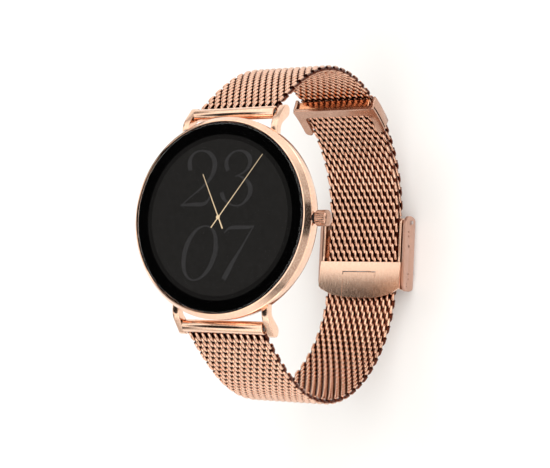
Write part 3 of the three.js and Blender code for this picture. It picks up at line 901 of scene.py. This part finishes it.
clasp = {
    "wall": 10.35, "railEdge": 10.95, "edge": 11.25,  # inside and outside of the rails, and the plate
    "floorRun": (-9.8, 3.4), "floorHeight": (4.7, 5.55),  # the plate between the rails: its y and its z
    "bridgeTop": 9.2, "bridgeLow": 8.0, "bridgeStart": -3.4, "bridgeCorner": -10.0,
    "crownAt": -11.5, "crowning": 0.0125,  # the bridge is highest at this y and falls away from it
    "lowerEdge": (-10.9, -12.7), "arcHalf": 9.95,  # y at the ends and in the middle of its lower arc
    "leverHalf": 4.5, "leverTop": -6.1, "leverGap": 0.20, "leverThinner": 0.25,
    "tick": (0.15, 0.8),  # a small notch beside the lever: its width and depth
    "pin": (-5.9, 8.54, 0.17), "pinHalf": 5.6,  # the lever's pin: y, z, radius and half its length
    "underFrom": -7.0, "underRise": 0.0185,  # past this y the underside rises to clear the band
    "slice": 0.8,  # width of the strips that the plate is cut into, so that it can curve
}
cover = {
    "inner": 11.3, "outer": 12.05, "corner": 2.4, "start": -10.6, "end": 8.6, "top": 7.9,
    "mouth": 5.6,  # the floor stops at this y, where the band comes in
    "holes": [  # y, z and radius of the small holes in each side
        (4.5, 5.9, 0.30), (3.4, 5.7, 0.30), (0.8, 5.4, 0.42), (-6.2, 5.2, 0.30), (-7.5, 5.1, 0.30),
        (-8.7, 5.8, 0.24), (-9.4, 5.8, 0.24), (7.0, 4.55, 0.52),
    ],
}


def lowerArc(x):
    corner, middle = clasp["lowerEdge"]
    return middle + (corner - middle) * abs(x / clasp["arcHalf"]) ** 3


def sliceAcross(obj, places):
    only(obj)
    bpy.ops.object.mode_set(mode="EDIT")
    for y in places:
        bpy.ops.mesh.select_all(action="SELECT")
        bpy.ops.mesh.bisect(plane_co=(0, y * mm, 0), plane_no=(0, 1, 0))
    bpy.ops.object.mode_set(mode="OBJECT")


def crownOver(obj):
    # sliced across, then the upper face falls away each side of the crest and the underside clears the band
    notch = clasp["leverTop"] + clasp["leverGap"]
    sliceAcross(obj, [notch + i * clasp["slice"] for i in range(-8, 4)])
    halfway = (clasp["bridgeLow"] + clasp["bridgeTop"]) / 2
    for vertex in obj.data.vertices:
        y = vertex.co.y / mm
        if vertex.co.z > halfway * mm:
            vertex.co.z -= clasp["crowning"] * (y - clasp["crownAt"]) ** 2 * mm
        elif y < clasp["underFrom"]:
            vertex.co.z += clasp["underRise"] * (y - clasp["underFrom"]) ** 2 * mm
    return obj


def makeSlider():
    rail = rounded([
        (-10.2, clasp["bridgeTop"] - 0.5, 0.8), (-10.4, 3.7, 0.8), (-6.2, 2.8, 0.6), (-3.8, 2.8, 0.6),
        (3.4, 4.7, 0.5), (4.6, 5.9, 0.5), (7.5, 6.1, 0.5), (7.5, 8.1, 0.8), (-2.2, 8.15, 0.2),
        (-3.0, 8.3, 0.3),
    ])
    wall, railEdge = clasp["wall"], clasp["railEdge"]
    parts = [plate("rail", rail, near, far, along="X", bevel=0.2, segments=3)
             for near, far in ((wall, railEdge), (-railEdge, -wall))]
    half, (start, end), (low, top) = clasp["edge"] - 0.5, clasp["floorRun"], clasp["floorHeight"]
    floor = rounded([(half, end, 0.2), (half, start, 0.6), (-half, start, 0.6), (-half, end, 0.2)])
    parts.append(plate("floor", floor, low, top, bevel=0.1))
    finished(smooth(joined("sliderRails", parts), 30), "slider", look=finish("roseGold"), slot="rose_gold")


def makeBridge():
    # the plate over the band, with a notch in its lower edge where the lever sits
    edge, start, corner = clasp["edge"], clasp["bridgeStart"], clasp["bridgeCorner"]
    gap, arcHalf = clasp["leverHalf"] + 0.02, clasp["arcHalf"]
    notch = clasp["leverTop"] + clasp["leverGap"]
    tickWidth, tickDepth = clasp["tick"]
    run = [(arcHalf - gap) * i / 8 for i in range(9)]
    left = [(-arcHalf + x, lowerArc(-arcHalf + x)) for x in run]
    right = [(gap + x, lowerArc(gap + x)) for x in run]
    outline = [
        (-edge, start), (-edge, corner), *left, (-gap, notch - tickDepth),
        (-gap - tickWidth, notch - tickDepth), (-gap - tickWidth, notch), (gap, notch), *right,
        (edge, corner), (edge, start),
    ]
    low, top = clasp["bridgeLow"], clasp["bridgeTop"]
    bridge = crownOver(plate("sliderBridge", outline, low, top, bevel=0.05, segments=1))
    finished(smooth(bridge, 20), "slider", "clasp_slider", look=finish("roseBrushed"), slot="rose_gold")


def makeLever():
    half, low, top = clasp["leverHalf"], clasp["bridgeLow"] + clasp["leverThinner"], clasp["bridgeTop"]
    outline = [(-half, clasp["leverTop"]), (half, clasp["leverTop"])]
    outline += [(half - half * i / 5, lowerArc(half - half * i / 5)) for i in range(11)]
    lever = crownOver(plate("lockLever", outline, low, top, bevel=0.04, segments=1))
    finished(smooth(lever, 20), "lever", "lock_lever", look=finish("roseBrushed"), slot="rose_satin")
    y, z, radius = clasp["pin"]
    end = clasp["pinHalf"]
    pin = turned("leverPin", [
        (radius - 0.05, -end), (radius, -end + 0.05), (radius, end - 0.05), (radius - 0.05, end),
    ], steps=24, lie=True, at=(0, y, z))
    finished(smooth(pin, 50), "slider", "lock_lever_pin", look=finish("bareSteel"), slot="steel")


def makeCover():
    # a folded channel with round corners, its ends cut to the side's outline
    inner, outer, bend = cover["inner"], cover["outer"], cover["corner"]
    start, end, top = cover["start"], cover["end"], cover["top"]
    bendInside, turn, half, high = bend - (outer - inner), math.pi, math.pi / 2, top + 1.1
    channel = [(-outer, high), *arc(-outer + bend, bend, bend, turn, turn + half, 8),
               *arc(outer - bend, bend, bend, -half, 0, 8), (outer, high), (inner, high),
               *arc(outer - bend, bend, bendInside, 0, -half, 8),
               *arc(-outer + bend, bend, bendInside, turn + half, turn, 8), (-inner, high)]
    shell = plate("claspCover", channel, start, end, along="Y", bevel=0)
    side = rounded([
        (start, 0, 5.0), (end, 0, 5.0), (end, 6.4, 1.2), (end - 2, top, 1.2), (start + 1.6, top, 1),
        (start, 6.6, 1),
    ], steps=10)
    blank = plate("blank", side, -13, 13, along="X", bevel=0)
    applyModifier(shell, "BOOLEAN", operation="INTERSECT", solver="EXACT", object=blank)
    bpy.data.objects.remove(blank)
    mouth, past = cover["mouth"], end + 0.4
    opening = [(-inner, mouth), (inner, mouth), (inner, past), (-inner, past)]
    cutAway(shell, plate("mouth", opening, -1, 3, bevel=0))
    for near, far in ((inner - 1, outer + 1), (-outer - 1, -inner + 1)):
        drills = [turned("drill", [(radius, near), (radius, far)], steps=16, lie=True, at=(0, y, z))
                  for y, z, radius in cover["holes"]]
        cutAway(shell, joined("drills", drills))
    bevelEdges(shell, 0.10, 2, 50)
    finished(smooth(shell, 35), "cover", "clasp_cover", look=finish("roseMatte"), slot="rose_satin")


# keeper on the tail, modelled flat as x, distance and lift, then laid along the band

keeper = {
    "start": 53,  # degrees of heading where its arms end
    "past": 1.1,  # how far it reaches past the band's end
    "halfWidth": 11.0, "rim": 2.1, "mouth": 2.9,
    "low": -1.15, "faceThick": 0.9, "earThick": 0.8, "earTop": 1.5,
    "armEnd": 0.8,  # the ears start this far from the arms' ends
    "capHalf": 9.6, "capTop": 0.7,
}


def layAlong(obj, line):
    for vertex in obj.data.vertices:
        x, distance, lift = [part / mm for part in vertex.co]
        y, z = besideBand(line, distance, lift)
        vertex.co = (x * mm, y * mm, z * mm)
    only(obj)
    bpy.ops.object.mode_set(mode="EDIT")
    bpy.ops.mesh.select_all(action="SELECT")
    bpy.ops.mesh.normals_make_consistent(inside=False)
    bpy.ops.object.mode_set(mode="OBJECT")
    return obj


def makeKeeper():
    end, start = distanceAt(bandSix, bandSix["tailEnd"]), distanceAt(bandSix, keeper["start"])
    tip, low, wide = end + keeper["past"], keeper["low"], keeper["halfWidth"]
    slim, mouth, earStart = wide - keeper["rim"], tip - keeper["mouth"], start + keeper["armEnd"]
    face = plate("face", rounded([
        (wide, tip, 0.5), (-wide, tip, 0.5), (-wide, start, 1.4), (-slim, start, 0.9),
        (-slim, mouth, 1.5), (slim, mouth, 1.5), (slim, start, 0.9), (wide, start, 1.4),
    ]), low - keeper["faceThick"], low, bevel=0.28, segments=3)
    sliceAcross(face, [earStart + i for i in range(10)])
    run = [(tip - earStart) * i / 8 for i in range(9)]
    ear = [(earStart + step, low - 0.6) for step in run] + [(tip - step, keeper["earTop"]) for step in run]
    thick = keeper["earThick"]
    ears = [plate("ear", ear, near, far, along="X", bevel=0.15)
            for near, far in ((wide - thick, wide), (-wide, -wide + thick))]
    clip = layAlong(joined("tailKeeper", [face, *ears]), bandSix)
    # the face and ears take the darkened rose gold: painted shade
    finished(smooth(clip, 35), "band_tail_b", "tail_keeper", look=finish("rosePaintedShade"), slot="rose_gold")
    # the cap is rose gold tinted deeper orange: a painted reflection of the mesh in its end face
    half, inside = keeper["capHalf"], end + 0.35
    outline = rounded([(half, tip, 0.3), (-half, tip, 0.3), (-half, inside, 0.1), (half, inside, 0.1)])
    cap = plate("keeperCap", outline, low - 0.3, keeper["capTop"], bevel=0.12)
    finished(smooth(layAlong(cap, bandSix), 35), "band_tail_b", look=finish("rosePaintedReflection"), slot="rose_gold")


makeSlider()
makeBridge()
makeLever()
makeCover()
makeKeeper()
print("clasp ready")


# nodes that keep their own shape, and the finish of each

kept = {
    "sealRubber": ["glass_gasket", "back_gasket", "crown_seal"],
    "foilSheet": ["display_frame", "battery"],
    "greenBoard": ["main_board", "sensor_board"],
    "amberFlex": ["display_flex"],
    "blackMoulded": ["crown_encoder"],
    "sensorGlass": ["sensor_window"],
    "goldContact": ["charging_ring_inner", "charging_ring_outer"],
    "roseGold": ["clasp_tube"],
    "roseBrushed": ["back_cover", "hook_plate"],
    "bareSteel": ["vibration_motor", "crown_stem", "clasp_pin", "hook_bar"],
}


def dressKeptNodes():
    kept["bareSteel"] += [f"case_screw_{i}" for i in range(1, 5)]
    for end in ("12", "6"):
        kept["bareSteel"] += [f"spring_bar_{end}", f"spring_bar_coil_{end}"]
        kept["bareSteel"] += [f"spring_bar_tip_{end}_{hand}" for hand in ("left", "right")]
    for look, names in kept.items():
        for name in names:
            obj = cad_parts[name]
            if not obj.data.materials:
                obj.data.materials.append(None)
            for place in obj.material_slots:
                place.material = finish(look)


dressKeptNodes()
print("finishes ready")

bpy.context.view_layer.update()
